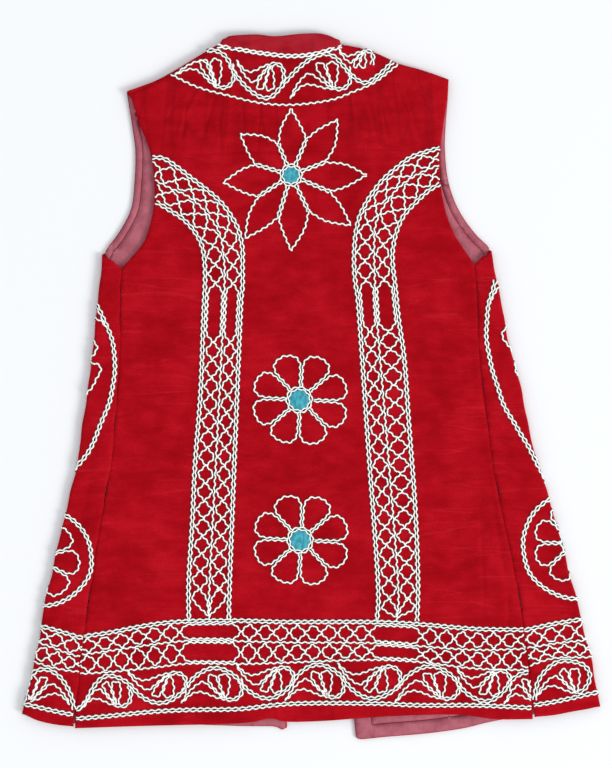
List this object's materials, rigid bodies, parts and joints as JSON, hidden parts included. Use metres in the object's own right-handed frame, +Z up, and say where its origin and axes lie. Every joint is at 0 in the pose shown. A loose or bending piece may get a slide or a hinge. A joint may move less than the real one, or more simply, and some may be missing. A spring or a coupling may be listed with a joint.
{
  "type": "embroidered folk vest",
  "caption": "Long sleeveless velvet vest with couched cord scrolls, flowers and lattice bands, a stand collar and a rose lining, laid face down",
  "frame": {"origin": "on the table, under the middle of the vest's box", "axes": "+X to the wearer's right, +Y up the back to the neck, +Z up from the table to the back panel's outer face"},
  "size_m": [0.637, 0.7772, 0.0094],
  "materials": {
    "velvet": "red cotton velvet with a short pile",
    "lining": "rose plain-weave lining",
    "patch": "turquoise plain-weave cloth",
    "cord": "twisted cream cotton cord, couched down",
    "stitching": "dark green sewing thread"
  },
  "bodies": {
    "root": {"back_panel": "velvet", "front_left": "velvet", "front_right": "velvet", "collar": "velvet", "lining_left": "lining", "lining_right": "lining", "armhole_facing_left": "lining", "armhole_facing_right": "lining", "edge_facing_left": "lining", "edge_facing_right": "lining", "patch_star": "patch", "patch_middle": "patch", "patch_lower": "patch"}
  },
  "joints": []
}
